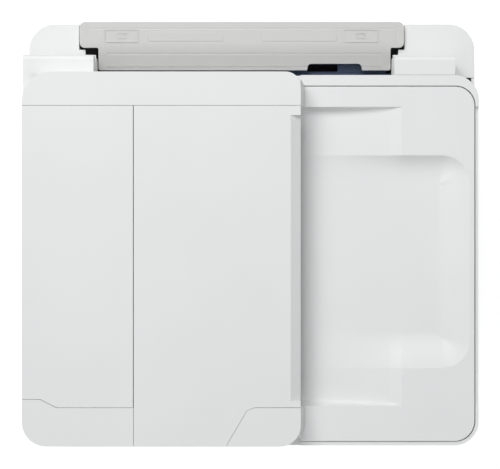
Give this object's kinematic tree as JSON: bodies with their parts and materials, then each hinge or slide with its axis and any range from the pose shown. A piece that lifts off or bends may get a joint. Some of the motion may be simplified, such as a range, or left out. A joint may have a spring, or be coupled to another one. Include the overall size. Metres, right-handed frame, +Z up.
{
  "type": "inkjet printer",
  "caption": "Compact all-in-one inkjet printer with flatbed scanner, automatic document feeder, rear paper tray, front cassette and output tray.",
  "frame": {"origin": "on the table, under the middle of the printer", "axes": "+X to the right along the front, +Y from the front to the rear, +Z up"},
  "size_m": [0.376, 0.354, 0.194],
  "materials": {
    "white_shell": "fine-textured white ABS",
    "grey_shell": "light grey ABS",
    "translucent_grey": "satin translucent grey",
    "navy_plastic": "satin navy",
    "dark_plastic": "matt black-grey",
    "rubber_dark": "matt rubber",
    "sheet_metal": "zinc-plated sheet steel",
    "polished_steel": "ground and polished",
    "brass_gear": "moulded acetal gear, brass coloured",
    "gear_plastic": "natural acetal",
    "circuit_board": "solder-masked laminate",
    "clear_glass": "float glass",
    "display_black": "gloss black window",
    "white_foam": "white pressure pad"
  },
  "bodies": {
    "base": {"base_case": "white_shell", "rear_deck": "white_shell", "rubber_feet": "rubber_dark", "main_frame": "sheet_metal", "carriage_rail": "polished_steel", "platen": "dark_plastic", "timing_belt": "rubber_dark", "drive_motors": "sheet_metal", "purge_unit": "dark_plastic", "power_supply": "dark_plastic", "logic_board": "circuit_board", "rear_sockets": "dark_plastic", "output_deck": "grey_shell", "rear_feed_frame": "dark_plastic", "hinge_brackets": "sheet_metal"},
    "belt_motor_pulley": {"motor_pulley": "gear_plastic"},
    "belt_idler_pulley": {"idler_pulley": "gear_plastic"},
    "feed_motor_pinion": {"motor_pinion": "brass_gear"},
    "carriage": {"print_carriage": "dark_plastic", "ink_cartridges": "dark_plastic"},
    "feed_shaft": {"feed_roller": "rubber_dark"},
    "pinch_shaft": {"pinch_roller": "rubber_dark"},
    "idler": {"idler_gear": "gear_plastic"},
    "eject_shaft": {"eject_roller": "rubber_dark"},
    "rear_pickup": {"rear_pickup_roller": "rubber_dark"},
    "cassette_pickup": {"cassette_pickup_roller": "rubber_dark"},
    "paper_cassette": {"cassette": "white_shell"},
    "cassette_left": {"cassette_guide_left": "navy_plastic"},
    "cassette_right": {"cassette_guide_right": "navy_plastic"},
    "cassette_end": {"cassette_end_guide": "navy_plastic"},
    "paper_output_tray": {"output_tray": "grey_shell"},
    "tray_extension": {"output_extension": "grey_shell"},
    "panel": {"operation_panel": "white_shell", "display_window": "display_black"},
    "power_key": {"power_button": "white_shell"},
    "start_key": {"start_button": "navy_plastic"},
    "tray_cover": {"rear_tray_cover": "translucent_grey"},
    "support": {"paper_support": "translucent_grey"},
    "slot_flap": {"feed_slot_cover": "navy_plastic"},
    "rear_left_guide": {"rear_guide_left": "navy_plastic"},
    "rear_right_guide": {"rear_guide_right": "navy_plastic"},
    "jam_cover": {"rear_jam_cover": "grey_shell"},
    "scanner_unit": {"scanner_case": "white_shell", "scanner_top_frame": "grey_shell", "scanner_glass": "clear_glass", "scan_rail": "polished_steel", "hinge_pins": "polished_steel"},
    "scan_head": {"scan_carriage": "dark_plastic"},
    "document_cover": {"lid_case": "white_shell", "lid_top_panel": "white_shell", "lid_rear_cover": "white_shell", "platen_pad": "white_foam", "adf_case": "white_shell", "adf_bed": "grey_shell"},
    "feeder_lid": {"feeder_cover": "white_shell"},
    "original_tray": {"document_tray": "white_shell"},
    "front_fence": {"document_guide_front": "grey_shell"},
    "rear_fence": {"document_guide_rear": "grey_shell"},
    "adf_pickup": {"adf_pickup_roller": "rubber_dark"},
    "adf_exit": {"adf_exit_roller": "rubber_dark"}
  },
  "joints": [
    {"name": "scanner_unit_hinge", "type": "hinge", "parent": "base", "child": "scanner_unit", "pos_m": [0, 0.138, 0.131], "axis": [-1, 0, 0], "range_deg": [0, 30]},
    {"name": "document_cover_hinge", "type": "hinge", "parent": "scanner_unit", "child": "document_cover", "pos_m": [0, 0.138, 0.156], "axis": [-1, 0, 0], "range_deg": [0, 70]},
    {"name": "feeder_cover_hinge", "type": "hinge", "parent": "document_cover", "child": "feeder_lid", "pos_m": [-0.1826, -0.02375, 0.178], "axis": [0, -1, 0], "range_deg": [0, 60]},
    {"name": "document_tray_hinge", "type": "hinge", "parent": "document_cover", "child": "original_tray", "pos_m": [0.0364, -0.02375, 0.1905], "axis": [0, 1, 0], "range_deg": [0, 150]},
    {"name": "front_fence_slide", "type": "slide", "parent": "document_cover", "child": "front_fence", "axis": [0, 1, 0], "range_m": [0, 0.055]},
    {"name": "rear_fence_slide", "type": "slide", "parent": "document_cover", "child": "rear_fence", "axis": [0, -1, 0], "range_m": [0, 0.055]},
    {"name": "adf_pickup_spin", "type": "hinge", "parent": "document_cover", "child": "adf_pickup", "pos_m": [-0.1096, -0.02375, 0.184], "axis": [0, 1, 0], "continuous": true},
    {"name": "adf_exit_spin", "type": "hinge", "parent": "document_cover", "child": "adf_exit", "pos_m": [-0.1306, -0.02375, 0.1666], "axis": [0, 1, 0], "continuous": true},
    {"name": "tray_cover_hinge", "type": "hinge", "parent": "base", "child": "tray_cover", "pos_m": [0, 0.168, 0.119], "axis": [1, 0, 0], "range_deg": [-105, 0]},
    {"name": "paper_support_slide", "type": "slide", "parent": "tray_cover", "child": "support", "axis": [0, -1, 0], "range_m": [0, 0.028]},
    {"name": "slot_flap_hinge", "type": "hinge", "parent": "base", "child": "slot_flap", "pos_m": [0, 0.1335, 0.116], "axis": [1, 0, 0], "range_deg": [0, 80]},
    {"name": "rear_left_guide_slide", "type": "slide", "parent": "base", "child": "rear_left_guide", "axis": [1, 0, 0], "range_m": [0, 0.045]},
    {"name": "rear_right_guide_slide", "type": "slide", "parent": "base", "child": "rear_right_guide", "axis": [-1, 0, 0], "range_m": [0, 0.045]},
    {"name": "jam_cover_hinge", "type": "hinge", "parent": "base", "child": "jam_cover", "pos_m": [0, 0.1722, 0.023], "axis": [-1, 0, 0], "range_deg": [0, 60]},
    {"name": "cassette_slide", "type": "slide", "parent": "base", "child": "paper_cassette", "axis": [0, -1, 0], "range_m": [0, 0.17]},
    {"name": "cassette_left_slide", "type": "slide", "parent": "paper_cassette", "child": "cassette_left", "axis": [1, 0, 0], "range_m": [0, 0.05]},
    {"name": "cassette_right_slide", "type": "slide", "parent": "paper_cassette", "child": "cassette_right", "axis": [-1, 0, 0], "range_m": [0, 0.05]},
    {"name": "cassette_end_slide", "type": "slide", "parent": "paper_cassette", "child": "cassette_end", "axis": [0, 1, 0], "range_m": [0, 0.06]},
    {"name": "output_tray_slide", "type": "slide", "parent": "base", "child": "paper_output_tray", "axis": [0, -1, 0], "range_m": [0, 0.105]},
    {"name": "tray_extension_slide", "type": "slide", "parent": "paper_output_tray", "child": "tray_extension", "axis": [0, -1, 0], "range_m": [0, 0.06]},
    {"name": "panel_tilt", "type": "hinge", "parent": "base", "child": "panel", "pos_m": [0, -0.167, 0.116], "axis": [-1, 0, 0], "range_deg": [0, 35]},
    {"name": "power_button_press", "type": "slide", "parent": "panel", "child": "power_key", "axis": [0, 1, 0], "range_m": [0, 0.0008], "stiffness_N_per_m": 600},
    {"name": "start_button_press", "type": "slide", "parent": "panel", "child": "start_key", "axis": [0, 1, 0], "range_m": [0, 0.0008], "stiffness_N_per_m": 600},
    {"name": "carriage_slide", "type": "slide", "parent": "base", "child": "carriage", "axis": [-1, 0, 0], "range_m": [0, 0.25]},
    {"name": "motor_pulley_spin", "type": "hinge", "parent": "base", "child": "belt_motor_pulley", "pos_m": [0.154, 0.0882, 0.108], "axis": [0, 0, -1], "continuous": true},
    {"name": "idler_pulley_spin", "type": "hinge", "parent": "base", "child": "belt_idler_pulley", "pos_m": [-0.144, 0.0882, 0.108], "axis": [0, 0, -1], "continuous": true},
    {"name": "feed_roller_spin", "type": "hinge", "parent": "base", "child": "feed_shaft", "pos_m": [0, 0.062, 0.076], "axis": [1, 0, 0], "continuous": true},
    {"name": "feed_pinion_spin", "type": "hinge", "parent": "base", "child": "feed_motor_pinion", "pos_m": [-0.164, 0.08, 0.076], "axis": [1, 0, 0], "continuous": true},
    {"name": "idler_gear_spin", "type": "hinge", "parent": "base", "child": "idler", "pos_m": [-0.164, 0.035, 0.076], "axis": [1, 0, 0], "continuous": true},
    {"name": "eject_roller_spin", "type": "hinge", "parent": "base", "child": "eject_shaft", "pos_m": [0, 0.008, 0.076], "axis": [1, 0, 0], "continuous": true},
    {"name": "pinch_roller_spin", "type": "hinge", "parent": "base", "child": "pinch_shaft", "pos_m": [0, 0.062, 0.0864], "axis": [1, 0, 0], "continuous": true},
    {"name": "rear_pickup_spin", "type": "hinge", "parent": "base", "child": "rear_pickup", "pos_m": [0, 0.112, 0.098], "axis": [1, 0, 0], "continuous": true},
    {"name": "cassette_pickup_spin", "type": "hinge", "parent": "base", "child": "cassette_pickup", "pos_m": [0, 0.0995, 0.0346], "axis": [1, 0, 0], "continuous": true},
    {"name": "scan_head_slide", "type": "slide", "parent": "scanner_unit", "child": "scan_head", "axis": [1, 0, 0], "range_m": [0, 0.3]}
  ],
  "couplings": [
    {"joint": "rear_fence_slide", "follows": "front_fence_slide", "ratio": 1},
    {"joint": "adf_exit_spin", "follows": "adf_pickup_spin", "ratio": 1.2},
    {"joint": "paper_support_slide", "follows": "tray_cover_hinge", "m_per_rad": -0.015279},
    {"joint": "slot_flap_hinge", "follows": "tray_cover_hinge", "ratio": -0.76191},
    {"joint": "rear_right_guide_slide", "follows": "rear_left_guide_slide", "ratio": 1},
    {"joint": "cassette_right_slide", "follows": "cassette_left_slide", "ratio": 1},
    {"joint": "motor_pulley_spin", "follows": "carriage_slide", "rad_per_m": 153.85},
    {"joint": "idler_pulley_spin", "follows": "carriage_slide", "rad_per_m": 153.85},
    {"joint": "feed_pinion_spin", "follows": "feed_roller_spin", "ratio": -2},
    {"joint": "idler_gear_spin", "follows": "feed_roller_spin", "ratio": -0.8},
    {"joint": "eject_roller_spin", "follows": "feed_roller_spin", "ratio": 1},
    {"joint": "pinch_roller_spin", "follows": "feed_roller_spin", "ratio": -1.8056}
  ]
}
